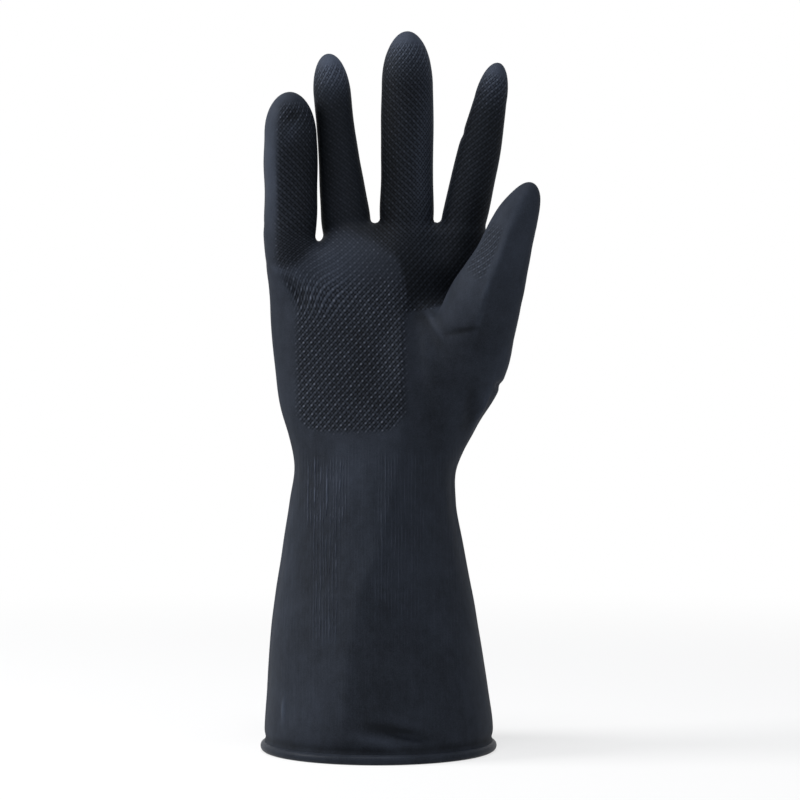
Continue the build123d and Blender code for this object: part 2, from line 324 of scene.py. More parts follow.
def settle(field, p, rounds):
    # Newton's steps to the surface: p - field * slope / |slope|^2, the slope from small differences.
    for _ in range(rounds):
        here = field(p)
        slope = np.stack([field(p + 0.05 * np.eye(3)[k]) - here for k in range(3)], 1) / 0.05
        step = here / np.maximum((slope**2).sum(1), 0.05)
        p = p - np.clip(step, -1.5, 1.5)[:, None] * slope
    return p


def spread(values, faces):
    # Each point's mean over its neighbours along the faces' edges.
    a = faces.ravel()
    b = np.roll(faces, -1, 1).ravel()
    count = len(values)
    hits = np.bincount(a, minlength=count) + np.bincount(b, minlength=count)
    total = [np.bincount(a, column[b], count) + np.bincount(b, column[a], count) for column in values.T]
    return np.stack(total, 1) / np.maximum(hits, 1)[:, None]


def pointNormals(p, faces):
    # Each point's normal: the sum of its faces' diagonals' cross products, made one long.
    cross = np.cross(p[faces[:, 2]] - p[faces[:, 0]], p[faces[:, 3]] - p[faces[:, 1]])
    total = sum(np.stack([np.bincount(corner, part, len(p)) for part in cross.T], 1) for corner in faces.T)
    return total / np.maximum(np.linalg.norm(total, axis=1), 1e-9)[:, None]


print("glove: working out the skin")
# The net's cells, finer across the narrow gap between the little and the ring stall, in mm
netStep = 1.25
gapStep = 0.5
acrossReaches = ((-63, -34, netStep), (-34, -26, gapStep), (-26, 92, netStep))
netAxes = [
    np.concatenate([np.arange(*reach) for reach in acrossReaches]),
    np.arange(-62, 64, netStep),
    np.arange(1.2, 364, netStep),
]
points, faces = surfaceNet(gloveField, netAxes)
points = settle(gloveField, points, 2)
for _ in range(3):
    normals = pointNormals(points, faces)
    move = spread(points, faces) - points
    move -= (move * normals).sum(1)[:, None] * normals
    points = settle(gloveField, points + 0.6 * move, 1)
points = settle(gloveField, points, 2)
print("glove: skin of", len(points), "points")


stallNames = list(stallShape)
stallFields = np.stack([stallField(stallShape[name], points) for name in stallNames], 1)
nearest = stallFields.argmin(1)
places = [stallPlace(stallShape[name], points) for name in stallNames]
along = np.choose(nearest, [place[0] for place in places])
across = np.choose(nearest, [place[1] for place in places])
forward = np.choose(nearest, [place[2] for place in places])
thumbHeight, thumbOff, thumbAlong = thumbPlace(points)
thumbAngle = thumbSides(thumbOff, thumbAlong)[3]
isThumb = thumbField(points) < np.minimum(bodyField(points), stallFields.min(1))


def boxCentre(node):
    # The middle of a CAD node's box, in millimetres.
    low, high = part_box(node)
    return (np.array(low) + np.array(high)) / 2 / mm


# Where the stalls part from the hand, and how far inside a stretch's ends its span starts and stops, in mm
stallFoot = 2.0
thumbFoot = 1.5
bendInset = {"root": (0.5, 1), "middle": (1, 1), "tip": (1, 3), "thumbRoot": (2.5, 1), "thumbTip": (0.5, 1),
             "wrist": (2, 2)}
thumbDirection = boxCentre("thumb_tip") - boxCentre("thumb_proximal")
thumbDirection /= np.linalg.norm(thumbDirection)
thumbRoot = np.array([54.4, -28, 226.4])


# A piece of skin for each stretch of the glove: which points it takes and the bodies it lies on; only a
# piece without a span is attached to one
gauntletTop = 115.0
wristTop = 172.0
owner = np.full(len(points), 2)  # 0 gauntlet, 1 wrist, 2 hand, then three a finger and two for the thumb
owner[points[:, 2] < wristTop] = 1
owner[points[:, 2] < gauntletTop] = 0
before, after = bendInset["wrist"]
wristSpan = ((0, 0, gauntletTop + before), (0, 0, wristTop - after))
skinPieces = [
    ("gauntlet_skin", ["gauntlet"], None, ("gauntlet",)),
    ("wrist_skin", ["gauntlet", "hand"], wristSpan, ("wrist_bend",)),
    ("hand_skin", ["hand"], None, ("hand_shell",)),
]
for number, name in enumerate(stallNames):
    direction = stallAxes(stallShape[name])[0]
    root = np.array(stallShape[name]["root"])
    mine = (nearest == number) & ~isThumb
    centres = [boxCentre(f"{name}_{part}") for part in ("proximal", "middle", "tip")]
    ends = [stallFoot] + [(centre - root) @ direction for centre in centres]
    bodies = ["hand", f"{name}_proximal", f"{name}_middle", f"{name}_tip"]
    nodes = [(f"{name}_root_bend",), (f"{name}_proximal", f"{name}_middle_bend"),
             (f"{name}_middle", f"{name}_tip_bend", f"{name}_tip")]
    for k, part in enumerate(("root", "middle", "tip")):
        owner[mine & (along > ends[k])] = len(skinPieces)
        before, after = bendInset[part]
        span = (root + direction * (ends[k] + before), root + direction * (ends[k + 1] - after))
        skinPieces.append((f"{name}_{part}_skin", bodies[k:k + 2], span, nodes[k]))
thumbReach = (points - thumbRoot) @ thumbDirection
thumbMiddle = (boxCentre("thumb_proximal") - thumbRoot) @ thumbDirection
thumbEnd = (boxCentre("thumb_tip") - thumbRoot) @ thumbDirection
for part, low, high, bodies, nodes in (
        ("root", thumbFoot, thumbMiddle, ["hand", "thumb_proximal"], ("thumb_root_bend",)),
        ("tip", thumbMiddle, thumbEnd, ["thumb_proximal", "thumb_tip"],
         ("thumb_proximal", "thumb_tip_bend", "thumb_tip"))):
    owner[isThumb & (thumbReach > low)] = len(skinPieces)
    before, after = bendInset["thumb" + part.capitalize()]
    span = (thumbRoot + thumbDirection * (low + before), thumbRoot + thumbDirection * (high - after))
    skinPieces.append((f"thumb_{part}_skin", bodies, span, nodes))
faceOwner = owner[faces].max(1)
print("glove:", len(skinPieces), "skin pieces")


# Each fold: centre, direction it runs in, half length and half width, and depth (out is positive), in mm
folds = [
    # notch in the edge below the thumb, the strip that runs down from it and the hollow beside that
    ((59.5, -11, 183.5), (-0.1, 0.97, 0.1), (12, 2), -2.6),
    ((52.5, -17.5, 173), (-0.33, 0.52, -0.78), (12, 1.6), 1.2),
    ((46.6, -22.7, 175), (-0.09, 0.52, -0.85), (13, 3), -1.5),
    # the moulded ridge up the thumb's front
    ((64, -46, 258), (0.35, 0.07, 0.93), (15, 1.2), 0.9),
    ((51.3, -43.5, 222.5), (0.23, -0.33, 0.92), (13, 1.2), 1.2),
    # where the thumb folds against its mound: a crease, a rim beside the web and soft ridges
    ((42, -36, 209.7), (0.88, -0.45, 0.16), (10, 1.4), -1.2),
    ((27.6, -25, 213.7), (0.38, -0.58, -0.72), (12, 1.4), 1.1),
    ((24.6, -24, 210.5), (0.38, -0.58, -0.72), (11, 2.2), -0.7),
    ((24, -17, 222), (-0.92, 0.1, 0.35), (8, 1.6), 0.8),
    ((52, -36, 203), (0.3, 0.1, -0.95), (12, 4.5), -1),
    # dent and slanting crease low on the gauntlet, and an upright pinch at its left
    ((14, -54.5, 13.6), (0.95, 0.2, -0.24), (13, 2.4), -3),
    ((13, -54.5, 19), (0.95, 0.2, -0.24), (16, 3.4), 1.1),
    ((-3, -56, 10.5), (0.96, 0, -0.25), (11, 2.2), 0.9),
    ((-47.2, -30.5, 24), (0.13, 0, -1), (7, 1.2), 0.9),
    # two faint level pinches up the gauntlet
    ((-16, -41, 79.5), (0.93, -0.3, -0.14), (7, 1), 0.5),
    ((-3.6, -30.8, 131.8), (1, 0, -0.12), (6, 1), 0.5),
    # the fold where the little finger's root bunches the palm, and its step in the edge
    ((-40.5, -16, 229.5), (0.63, -0.12, -0.77), (9, 2.3), -1.4),
    ((-37, -18.5, 233), (0.63, -0.12, -0.77), (12, 2.4), 1.1),
    ((-49, -13.5, 240), (0.9, -0.35, -0.35), (6, 1.6), 0.8),
    ((-55.5, 0, 245), (0.3, -1, 0), (9, 1.6), -0.8),
    # hollow under the little fingertip and pinches beside the finger joints
    ((-43, -20, 315.5), (0.9, 0, 0.4), (6, 3), -0.8),
    ((2.5, -9, 276), (0.25, 0, -0.97), (9, 2), 0.6),
    ((43.5, -3, 309), (0.2, 0.9, 0.1), (7, 2.2), -0.7),
]
# Waves all over, ripples at the wrist and the groove above the bead: heights in mm
softForms = {"slowWave": 0.5, "quickWave": 0.175, "ripple": 0.25, "groove": 0.8}
# The soft edge down the front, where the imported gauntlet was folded, and on up the edge of the palm's
# plate: where it runs, how far it stands out and how wide it is
keel = {
    "across": [(0, -16.5), (30, -15), (59, -13), (82, -8), (106, 1), (142, 9), (165, 13), (185, 12.5),
               (215, 12), (240, 12.5), (252, 7), (262, 0)],
    "height": [(6, 0.3), (16, 1.7), (60, 2.1), (120, 2.4), (150, 2.5), (180, 2.4), (225, 2.2), (262, 0.3)],
    "left": [(0, 30), (120, 30), (160, 36), (200, 42), (260, 40)],
    "right": [(0, 24), (140, 20), (165, 10), (180, 7), (260, 8)],
}


def foldHeight(p, fold):
    # depth * exp(-(distance along / half length)^2 - (distance across / half width)^2).
    centre, runs, (halfLength, halfWidth), depth = fold
    direction = np.array(runs) / np.linalg.norm(runs)
    q = p - np.array(centre)
    t = q @ direction
    off = np.linalg.norm(q - t[:, None] * direction, axis=1)
    return depth * hump(t, 0, halfLength) * hump(off, 0, halfWidth)


def softNoise(p, size, seed, waves=7):
    # The mean of a few sine waves in random directions, about one size long.
    random = np.random.default_rng(seed)
    direction = random.normal(size=(waves, 3))
    direction /= np.linalg.norm(direction, axis=1)[:, None]
    turn = random.uniform(0, 2 * math.pi, waves)
    length = size * random.uniform(0.75, 1.4, waves)
    return np.sin(p @ direction.T * 2 * math.pi / length + turn).mean(1)


def keelHeight(p):
    # height * 2 (e^(-t) - 0.5), t being the distance from the edge over its reach on that side, and
    # back to nothing past twice that reach.
    x, y, z = p.T
    off = x - smoothCurve(z, keel["across"])
    t = np.where(off < 0, -off / smoothCurve(z, keel["left"]), off / smoothCurve(z, keel["right"]))
    t = np.sqrt(t * t + 0.0008)
    rise = 2 * np.exp(-t) - 1
    rise = np.where(t > 1, rise * ease(2.4, 1, t), rise)
    return smoothCurve(z, keel["height"]) * rise * ease(0, -8, y) * ease(4, 12, z) * ease(268, 256, z)


def skinHeight(p):
    # Folds and keel, two soft noises all over, upright ripples where the wrist narrows and a groove above
    # the bead, eased to nothing at the bead itself.
    y, z = p.T[1:]
    height = sum(foldHeight(p, fold) for fold in folds) + keelHeight(p)
    slow, brisk = softNoise(p, 46, 3), softNoise(p, 19, 5)
    height = height + softForms["slowWave"] * slow + softForms["quickWave"] * brisk
    ripple = softNoise(p * np.array([1, 0.5, 0.06]), 7, 11) * hump(z, 118, 34) * ease(5, -12, y)
    height = height + softForms["ripple"] * ripple - softForms["groove"] * hump(z, 6.5, 2.2)
    return height * ease(4.4, 6.4, z)


print("glove: folds and ripples")
normals = pointNormals(points, faces)
points = points + skinHeight(points)[:, None] * normals
normals = pointNormals(points, faces)
for _ in range(2):
    normals = normals + spread(normals, faces)
    normals /= np.linalg.norm(normals, axis=1)[:, None]

# The grip pattern: where it shows, and its own flat map, unrolled round each stall
gripShape = {
    "palmLeft": -40.6,
    "palmRight": 13.5,
    "palmFoot": 160,
    "palmEdge": 2.4,
    "corner": 13,
    "stallTop": 7,
    # how strongly the pattern shows: on the palm, at its top, at the fingertips, below them and on the
    # thumb's patch, and how dark its ground is on the fingers
    "palmStrength": 0.8,
    "palmTopStrength": 0.3,
    "tipStrength": 0.7,
    "stallStrength": {"little": 0.85, "ring": 0.45, "middle": 0.9, "index": 0.8},
    "thumbStrength": 0.45,
    # painted shade: how much the grip's ground on the fingers and the palm under them is darkened
    "fingerShade": 0.6,
    # the height above which the pattern is at its finger strength, by place across the palm
    "fingerFoot": [(-60, 244), (-37, 246), (-31, 255), (-8, 257), (4, 250), (11, 242), (15, 227),
                   (30, 222), (60, 222)],
    # the heights between which the palm's pattern gives way to the stalls', and the thumb's patch: its
    # middle and half width in degrees, its foot and its top in mm
    "handOver": (262, 270),
    "thumbPatch": (-48, 26, 235, 258),
}


def ofStall(value):
    # The value of each point's nearest stall.
    return np.choose(nearest, [value(stall) for stall in stallShape.values()])


def gripCover(p):
    # How strongly the pattern shows, and how dark its ground is: both are 0 outside the palm's plate and
    # the strip up the palm side of each stall.
    x, y, z = p.T
    edge = gripShape["palmEdge"]
    left = gripShape["palmLeft"] - np.clip((z - 221) / 23, 0, 1) * 10
    right = gripShape["palmRight"] + ease(218, 226, z) * 40
    low = np.clip((gripShape["palmFoot"] + gripShape["corner"] - z) / gripShape["corner"], 0, 1)
    inset = gripShape["corner"] * (1 - np.sqrt(1 - low**2))
    palm = ease(-edge, edge, x - left - inset) * ease(edge, -edge, x - right + inset)
    palm *= ease(-edge, edge, z - gripShape["palmFoot"]) * (y < 0) * (normals[:, 1] < -0.25)
    mound = np.minimum(moundField(p), thumbField(p))
    palm *= ease(0.4, 2.4, mound)
    turn = np.degrees(np.arctan2(across, forward))
    middle, half = (ofStall(lambda s: s["grip"][k]) for k in (0, 1))
    reach = np.abs(turn - middle)
    tips = ofStall(lambda s: s["domeStart"] + s["domeLength"])
    strip = ease(6, -6, reach - half)
    strip *= ease(gripShape["stallTop"] - 3, gripShape["stallTop"] + 3, tips - along)
    fingerPart = ease(*gripShape["handOver"], z)
    onStall = np.choose(nearest, list(gripShape["stallStrength"].values()))
    below = ease(6, 32, tips - along)
    foot = smoothCurve(x, gripShape["fingerFoot"])
    finger = fingerPart + (1 - fingerPart) * ease(-3, 4, z - foot)
    palmTop = ease(228, 242, z) * ease(16, 9, x)
    onPalm = gripShape["palmStrength"] + (gripShape["palmTopStrength"] - gripShape["palmStrength"]) * palmTop
    palmShare = onPalm + (onStall - onPalm) * finger
    stripShare = gripShape["tipStrength"] + (onStall - gripShape["tipStrength"]) * below
    cover = palm * (1 - fingerPart) * palmShare + strip * fingerPart * stripShare
    # painted shade: the ground darkened on the stall strips and on the palm under the fingers
    fingerShade = gripShape["fingerShade"] * (palm * (1 - fingerPart) * finger + strip * fingerPart * below)
    middle, half, foot, top = gripShape["thumbPatch"]
    patch = ease(half + 4, half - 4, np.abs(np.degrees(thumbAngle) - middle))
    patch *= ease(foot - 3, foot + 3, thumbHeight)
    patch *= gripShape["thumbStrength"] * ease(top + 4, top - 4, thumbHeight)
    return np.where(isThumb, patch, cover), np.where(isThumb, 0, fingerShade)


def gripMap(p):
    # Across the pattern: x on the palm, and axis + radius * angle round a stall. Up it: the height.
    x, z = p.T[[0, 2]]
    radii = np.choose(nearest, [smoothCurve(along, s["radius"]) for s in stallShape.values()])
    roots = ofStall(lambda s: s["root"][0])
    around = roots + radii * np.arctan2(across, forward)
    part = ease(262, 274, z)
    u = x * (1 - part) + around * part
    v = z * (1 - part) + (along + 267) * part
    u = np.where(isThumb, 14 * thumbAngle, u)
    v = np.where(isThumb, thumbHeight, v)
    # the rows swing upright beside the fold at the little finger's root
    beside = hump(np.minimum(x + 37, 0), 0, 14) * hump(np.maximum(x + 37, 0), 0, 15) * ~isThumb
    v = v - 9 * (ease(216, 240, z) - ease(240, 262, z)) * beside
    u = u + 0.3 * (x + 37) * beside * hump(z, 230, 11) * ~isThumb
    # which of the two rows stands out: the upright one on the palm, the index finger and the tips
    tips = ofStall(lambda s: s["domeStart"] + s["domeLength"])
    swap = ease(246, 262, z) * ease(24, 14, x - 0.12 * (z - 267)) * ease(14, 30, tips - along) * ~isThumb
    return np.stack([u, v, swap], 1)


def crimpCover(p):
    # Where the skin is finely crimped: bands of x and of height, each eased in and out.
    x, y, z = p.T
    return sum(share * ease(left - 3, left, x) * ease(right + 3, right, x) * ease(low - 8, low, z)
               * ease(high + 6, high, z) for left, right, low, high, share in crimps) * ease(0, -8, y)


# Finely crimped bands: left, right, foot and top in mm, and strength
crimps = [
    (-34, -17, 119, 143, 1.35),
    (2, 21, 108, 145, 0.4),
    (-31, -21, 64, 114, 0.65),
    (0, 18, 75, 104, 0.3),
    (-47, 40, 20, 150, 0.08),
]
# Painted light (+) and painted shade (-), laid on as more or less of the pale bloom colour: centre,
# direction, half sizes, amount
paintedLightPatches = [
    ((-21.5, -8, 341), (0.1, 0, 1), (10, 8), 2.2),
    ((14.5, -14, 352), (0, 0, 1), (9, 10), 0.95),
    ((59, -12, 337), (0.2, 0, 1), (10, 8), 1),
    ((-54.5, -15.5, 298), (0, 0, 1), (38, 8.5), 0.5),
    ((-43, -21, 308), (0.5, 0, 0.85), (9, 3), 0.6),
    ((-43, -20, 315.5), (0.9, 0, 0.4), (6, 3), -0.35),
    ((-22, -20, 241), (0.6, 0, 1), (20, 17), 0.4),
    ((-15, -30, 138), (0.7, 0, 0.7), (22, 10), 0.25),
    ((34, -46, 55), (0.1, 0.1, 1), (60, 26), -0.06),
    ((2, -54, 40), (0.1, 0, 1), (34, 12), -0.2),
    ((44, -26, 232), (0.3, 0, 0.8), (12, 12), -0.2),
    ((-40.5, -16, 229.5), (0.63, -0.12, -0.77), (9, 3), -0.25),
    ((-37, -18.5, 234), (0.63, -0.12, -0.77), (13, 2.6), 0.4),
    ((-49, -13.5, 240), (0.9, -0.35, -0.35), (6, 1.8), 0.4),
    ((42, -36, 209.7), (0.88, -0.45, 0.16), (10, 1.5), -0.4),
    ((52, -36, 205), (0, 0.3, -1), (24, 9), -0.06),
    ((64, -46, 258), (0.35, 0.07, 0.93), (15, 1.4), 0.5),
    ((51.3, -43.5, 222.5), (0.23, -0.33, 0.92), (13, 1.4), 0.7),
    ((50, -38, 240), (0.3, 0, 1), (20, 8), 0.2),
    ((27.6, -25, 213.7), (0.38, -0.58, -0.72), (12, 1.5), 0.45),
    ((24, -17, 222), (-0.92, 0.1, 0.35), (8, 1.8), 0.4),
    ((52.5, -17.5, 173), (-0.33, 0.52, -0.78), (12, 1.8), 0.5),
    ((46.6, -22.7, 175), (-0.09, 0.52, -0.85), (14, 3.2), -0.35),
    ((-29, -8, 305), (-0.1, 0, 1), (40, 5.5), -0.45),
    ((2, -8, 300), (0, 0, 1), (44, 7), -1.2),
    ((24, -9, 303), (0, 0, 1), (38, 8), 2.6),
    ((-44, -19, 285), (0, 0, 1), (25, 8), 0.2),
    ((-8, -26, 192), (-0.2, 0, 1), (19, 11), -0.22),
    ((26, -24, 214), (0.4, -0.5, -0.7), (12, 7), -0.25),
    ((38, -42, 25), (0.1, 0, 1), (20, 18), -0.15),
    ((-15, -42, 75), (0.1, 0.1, 1), (80, 42), -0.1),
    ((61, -22, 207), (0.1, -0.1, 1), (30, 9), 0.2),
    ((68, -38, 250), (0.3, -0.1, 1), (20, 8), 0.2),
    ((9.5, -55, 15.8), (0.95, 0.15, -0.2), (16, 2.3), -0.5),
    ((47.5, -17, 163), (-0.45, 0, -0.9), (16, 5), -0.25),
    ((-37, -28, 112), (-0.1, -0.3, -1), (42, 14), -0.22),
    ((29, -25, 165), (0.1, 0, -1), (18, 10), -0.22),
    ((33, -30, 197), (0, 0, 1), (14, 12), -0.15),
    ((72, -44, 262), (0.3, 0, 1), (26, 10), 0.18),
    ((0, -56, 11), (0.95, 0, -0.25), (9, 2.2), 0.35),
    ((-47.2, -30.5, 24), (0.13, 0, -1), (7, 1.4), 0.7),
    ((-16, -41, 79.5), (0.93, -0.3, -0.14), (7, 1.2), 0.3),
    ((-3.6, -30.8, 131.8), (1, 0, -0.12), (6, 1.2), 0.3),
]
gripAt = gripMap(points)
gripHere, gripShadeHere = gripCover(points)
crimpHere = crimpCover(points)
# The bloom all over, the painted shade in the groove above the bead, the bead's own bloom, and the share of
# the pale colour that one unit of it gives
bloomLevelAndGrooveShade = {"all": 0.38, "groove": 0.25, "bead": 0.16, "share": 0.52}
# the bloom all over, plus the painted light and painted shade patches
bloomAndPaintedLightHere = bloomLevelAndGrooveShade["all"] + sum(foldHeight(points, patch) for patch in paintedLightPatches)
# painted shade: less of the pale colour in the groove just above the bead
bloomAndPaintedLightHere = (bloomAndPaintedLightHere - bloomLevelAndGrooveShade["groove"] * hump(points[:, 2], 6.6, 1.8)) * bloomLevelAndGrooveShade["share"]


def hexColour(text):
    # An sRGB hex colour as linear light: c / 12.92 below 0.04045, ((c + 0.055) / 1.055)^2.4 above.
    parts = [int(text[k:k + 2], 16) / 255 for k in (1, 3, 5)]
    return tuple(c / 12.92 if c <= 0.04045 else ((c + 0.055) / 1.055) ** 2.4 for c in parts) + (1,)


def addNode(tree, kind, settings=None, output=0, **inputs):
    # A node with its settings, and each input set to a value or linked to an output. Gives back the named
    # output, or the node itself where that is None.
    node = tree.nodes.new(kind)
    for name, value in (settings or {}).items():
        setattr(node, name, value)
    for name, value in inputs.items():
        key = int(name[1:]) if name[0] == "_" else name.replace("_", " ")
        if isinstance(value, bpy.types.NodeSocket):
            tree.links.new(value, node.inputs[key])
        else:
            node.inputs[key].default_value = value
    return node if output is None else node.outputs[output]


def newMaterial(name, roughness, ior, specular=0.5):
    # A material with only its shader and its output.
    material = bpy.data.materials.new(name)
    material.use_nodes = True
    tree = material.node_tree
    tree.nodes.clear()
    shader = addNode(tree, "ShaderNodeBsdfPrincipled", None, None, Roughness=roughness, IOR=ior,
                     Specular_IOR_Level=specular)
    addNode(tree, "ShaderNodeOutputMaterial", None, None, Surface=shader.outputs[0])
    return material, tree, shader


# Kinds of node that are used again and again, and what they do
maths, noise, mapRange = "ShaderNodeMath", "ShaderNodeTexNoise", "ShaderNodeMapRange"
bump, mix, mixShader = "ShaderNodeBump", "ShaderNodeMix", "ShaderNodeMixShader"
attribute = "ShaderNodeAttribute"
times, plus, timesPlus, cosine, larger = ({"operation": way} for way in (
    "MULTIPLY", "ADD", "MULTIPLY_ADD", "COSINE", "MAXIMUM"))
colours = {"data_type": "RGBA"}

rubberLook = {
    "deep": "#181b20",
    # the pale colour of the bloom, which also paints light where the patches raise it
    "bloom": "#474e5c",
    "roughness": 0.64,
    "roughnessSpan": (-0.07, 0.1),
    "specular": 0.045,
    "ior": 1.52,
    # the bloom's clouds, drawn-out streaks, mottle and specks: scale in 1/mm, detail, roughness and share;
    # the last of them gives the fine peel and the roughness too
    "clouds": {"cloud": (0.035, 5.0, 0.6, 0.29), "streak": (0.3, 6.0, 0.65, 0.15),
               "mottle": (0.17, 5.0, 0.7, 0.22), "speck": (1.9, 3.0, 0.6, 0.4)},
    "peelHeight": 0.12,
    # the crimp: spacing of its lines in mm, how far they waver in radians, how much paler and how high in mm
    "crimpPitch": 1.6,
    "crimpWaver": 9.0,
    "crimpPale": 0.4,
    "crimpHeight": 0.6,
    # the grip: its painted-shade ground and groove colours and its painted-highlight stud-top colour; each
    # row of grooves' turn and spacing; heights in mm
    "shadedGround": "#15181c",
    "groove": "#040506",
    "studHighlight": "#6b7180",
    "rowTurns": (50.0, -42.0),
    "pitch": 2.9,
    "studHeight": 0.26,
    # the shares of the main row's half spacing, the other row's half spacing, the main row and both together
    "rowShares": (0.31, 0.15, 0.27, 0.28),
    # how far the rows drift in mm, so that they aren't ruled
    "drift": 1.4,
    # how fast the studs' painted highlights and the grooves' painted shade fade as the painted-shade ground
    # darkens
    "darkFall": (1.35, 0.35),
}


def dippedRubber(name, look, withGrip=True):
    # Natural rubber dipped on a glazed former and cured with carbon black: bluish black, with a waxy
    # bloom that lies in soft clouds, a fine orange-peel skin and, on the palm, rows of moulded pillows.
    # The bloom's amount also carries painted light and painted shade.
    material, tree, shader = newMaterial(name, look["roughness"], look["ior"], look["specular"])
    add = functools.partial(addNode, tree)
    place = add(attribute, {"attribute_name": "skinPlace"}, "Vector")
    stretch = add("ShaderNodeMapping", Vector=place, Scale=(1.0, 1.0, 0.18))
    # the bloom, with painted light and painted shade laid into it
    amount = add(attribute, {"attribute_name": "bloom"}, "Fac")
    for kind, (scale, detail, roughness, share) in look["clouds"].items():
        over = stretch if kind == "streak" else place
        speck = add(noise, Vector=over, Scale=scale, Detail=detail, Roughness=roughness)
        uneven = add(maths, timesPlus, _0=speck, _1=share, _2=-share / 2)
        amount = add(maths, plus, _0=uneven, _1=amount)

    # upright crimps: cosine lines across x that waver, broken up along their length
    upright = add("ShaderNodeMapping", Vector=place, Scale=(1.0, 0.3, 0.05))
    waver = add(noise, Vector=upright, Scale=0.3, Detail=2.0, Roughness=0.55)
    wavered = add(maths, times, _0=waver, _1=look["crimpWaver"])
    sideways = add("ShaderNodeSeparateXYZ", _0=place)
    step = 2 * math.pi / look["crimpPitch"]
    phase = add(maths, timesPlus, _0=sideways, _1=step, _2=wavered)
    crest = add(maths, cosine, _0=phase)
    sharp = add(mapRange, Value=crest, From_Min=0.0, From_Max=0.9)
    broken = add(noise, Vector=stretch, Scale=0.45, Detail=2.0, Roughness=0.6)
    whole = add(mapRange, Value=broken, From_Min=0.36, From_Max=0.62)
    crimped = add(attribute, {"attribute_name": "crimp"}, "Fac")
    kept = add(maths, times, _0=whole, _1=crimped)
    crimp = add(maths, times, _0=sharp, _1=kept)

    clamped = dict(timesPlus, use_clamp=True)
    amount = add(maths, clamped, _0=crimp, _1=look["crimpPale"], _2=amount)
    deep, pale = (hexColour(look[key]) for key in ("deep", "bloom"))
    colour = add(mix, colours, 2, Factor=amount, _6=deep, _7=pale)
    low, high = look["roughnessSpan"]
    rough = add(mapRange, Value=speck, From_Min=0.3, From_Max=0.7, To_Min=look["roughness"] + low,
                To_Max=look["roughness"] + high)
    peel = add(bump, Strength=0.25, Distance=look["peelHeight"] * mm, Height=speck)
    lines = add(bump, Strength=1.0, Distance=look["crimpHeight"] * mm, Height=crimp, Normal=peel)
    if withGrip:
        # half * cos(2 main) + fine * cos(2 other) + cos(main) * (whole + cross * cos(other)) is the relief
        flat = add(attribute, {"attribute_name": "gripPlace"}, "Vector")
        drift = add(noise, None, "Color", Vector=flat, Scale=0.07, Detail=2.0)
        far = (look["drift"], look["drift"], 0.0)
        offset = add("ShaderNodeVectorMath", timesPlus, _0=drift, _1=far, _2=flat)
        rows = []
        for turn in look["rowTurns"]:
            step = 2 * math.pi / look["pitch"]
            across = (math.sin(math.radians(turn)) * step, -math.cos(math.radians(turn)) * step, 0)
            phase = add("ShaderNodeVectorMath", {"operation": "DOT_PRODUCT"}, "Value", _0=offset, _1=across)
            rows.append(add(maths, cosine, _0=phase))
        half, fine, whole, cross = look["rowShares"]
        ways = []
        for main, other in (rows, rows[::-1]):
            level = -half - fine
            for wave, share in ((main, half), (other, fine)):
                square = add(maths, times, _0=wave, _1=wave)
                level = add(maths, timesPlus, _0=square, _1=2 * share, _2=level)
            weight = add(maths, timesPlus, _0=other, _1=cross, _2=whole)
            ways.append(add(maths, timesPlus, _0=main, _1=weight, _2=level))
        swap = add("ShaderNodeSeparateXYZ", None, 2, _0=flat)
        relief = add(mix, {"data_type": "FLOAT"}, _0=swap, _2=ways[0], _3=ways[1])

        cover, fingerShade = (add(attribute, {"attribute_name": key}, "Fac") for key in ("grip", "gripDark"))
        shares = []
        for fall in look["darkFall"]:
            left = add(maths, timesPlus, _0=fingerShade, _1=-fall, _2=1.0)
            shares.append(add(maths, times, _0=left, _1=cover))
        tops, grooveShadeShare = shares
        raised = add(maths, times, _0=relief, _1=tops)
        lines = add(bump, Strength=1.0, Distance=look["studHeight"] * mm, Height=raised, Normal=lines)
        # painted shade on the fingers' ground, then painted shade, near black, in the grooves, then painted
        # highlights on the studs' tops, in patches
        glintPatches = add(noise, Vector=flat, Scale=0.28, Detail=3.0, Roughness=0.7)
        shown = add(mapRange, Value=glintPatches, From_Min=0.4, From_Max=0.66, To_Min=0.15)
        top = add(mapRange, Value=relief, From_Min=0.35, From_Max=1.0)
        bright = add(maths, times, _0=top, _1=shown)
        studGlint = add(maths, times, _0=bright, _1=tops)
        sunk = add(mapRange, Value=relief, From_Min=-0.02, From_Max=-0.3)
        grooveShade = add(maths, times, _0=sunk, _1=grooveShadeShare)
        for factor, over in ((fingerShade, "shadedGround"), (grooveShade, "groove"), (studGlint, "studHighlight")):
            colour = add(mix, colours, 2, Factor=factor, _6=colour, _7=hexColour(look[over]))
    for output, socket in ((colour, "Base Color"), (rough, "Roughness"), (lines, "Normal")):
        tree.links.new(output, shader.inputs[socket])
    return material


print("glove: materials")
gloveRubber = dippedRubber("dippedBlackRubber", rubberLook)
beadRubber = dippedRubber("rolledBeadRubber", dict(rubberLook, roughness=0.42), withGrip=False)


def meshPiece(name, co, quads, directions, attributes, material):
    # A smooth quad mesh with its own normals and point attributes, in metres.
    mesh = bpy.data.meshes.new(name)
    mesh.vertices.add(len(co))
    mesh.vertices.foreach_set("co", (co * mm).astype(np.float32).ravel())
    mesh.loops.add(quads.size)
    mesh.loops.foreach_set("vertex_index", quads.astype(np.int32).ravel())
    mesh.polygons.add(len(quads))
    mesh.polygons.foreach_set("loop_start", np.arange(0, quads.size, 4, dtype=np.int32))
    mesh.polygons.foreach_set("use_smooth", np.ones(len(quads), bool))
    mesh.update(calc_edges=True)
    for key, values in attributes.items():
        kind, field = ("FLOAT", "value") if values.ndim == 1 else ("FLOAT_VECTOR", "vector")
        mesh.attributes.new(key, kind, "POINT").data.foreach_set(field, values.astype(np.float32).ravel())
    if directions is not None:
        mesh.normals_split_custom_set_from_vertices(directions.tolist())
    mesh.materials.append(material)
    piece = bpy.data.objects.new(name, mesh)
    bpy.context.scene.collection.objects.link(piece)
    return piece


wallThickness = 1.5


